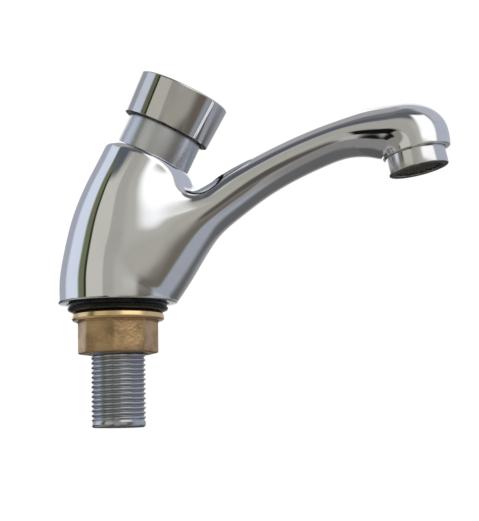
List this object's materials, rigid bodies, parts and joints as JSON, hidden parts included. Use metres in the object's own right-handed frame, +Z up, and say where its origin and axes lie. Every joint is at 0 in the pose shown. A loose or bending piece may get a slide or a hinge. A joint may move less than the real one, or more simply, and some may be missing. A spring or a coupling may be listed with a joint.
{
  "type": "push timed tap",
  "caption": "Self-closing basin tap: a leaning push knob over a tapered body, a rising spout with a hooded outlet, and a threaded tail with a backnut under the deck.",
  "frame": {"origin": "centre of the body's foot, in the plane that stands on the deck", "axes": "+Z up, away from the deck; +X towards the outlet; Y across, the body is the same on both sides"},
  "size_m": [0.1514, 0.046, 0.1375],
  "materials": {
    "cast_chrome": "polished chrome on a casting",
    "turned_chrome": "polished chrome, turned",
    "nut_brass": "bare cast brass, faced flange",
    "tail_zinc": "zinc plated thread",
    "black_rubber": "moulded black rubber",
    "seal_rubber": "nitrile rubber",
    "seal_fibre": "pressed fibre",
    "inner_brass": "turned brass",
    "inner_steel": "stainless steel",
    "aerator_plastic": "moulded grey plastic",
    "mesh_steel": "fine stainless grid"
  },
  "bodies": {
    "root": {"body_casting": "cast_chrome", "bonnet_collar": "turned_chrome", "aerator_housing": "turned_chrome", "threaded_shank": "tail_zinc", "base_gasket": "black_rubber", "sleeve_o_rings": "seal_rubber", "rod_o_ring": "seal_rubber", "aerator_washer": "seal_rubber", "shank_seal": "seal_fibre", "seat_gasket": "seal_fibre", "cartridge_sleeve": "inner_brass", "rod_bush": "inner_brass", "valve_seat": "inner_brass", "return_spring": "inner_steel", "inlet_strainer": "inner_steel", "aerator_insert": "aerator_plastic", "aerator_mesh": "mesh_steel"},
    "plunger": {"push_knob": "turned_chrome", "knob_lock_nut": "inner_brass", "plunger_rod": "inner_steel", "timing_piston": "inner_brass", "piston_lip_seal": "seal_rubber", "piston_clip": "inner_steel", "bleed_pin": "inner_steel", "valve_washer": "seal_rubber", "valve_plate": "inner_brass", "valve_screw": "inner_brass"},
    "washer": {"clamp_washer": "black_rubber"},
    "nut": {"backnut": "nut_brass"}
  },
  "joints": [
    {"name": "knob_press", "type": "slide", "parent": "root", "child": "plunger", "axis": [-0.4462, 0, -0.8949], "range_m": [0, 0.007], "stiffness_N_per_m": 900, "springref_m": -0.01, "deforming": ["return_spring"]},
    {"name": "washer_travel", "type": "slide", "parent": "root", "child": "washer", "axis": [0, 0, -1], "range_m": [0, 0.0273]},
    {"name": "nut_turn", "type": "hinge", "parent": "washer", "child": "nut", "pos_m": [0, 0, -0.0115], "axis": [0, 0, -1], "range_deg": [0, 5400]}
  ],
  "couplings": [
    {"joint": "washer_travel", "follows": "nut_turn", "m_per_rad": 0.00028871}
  ]
}
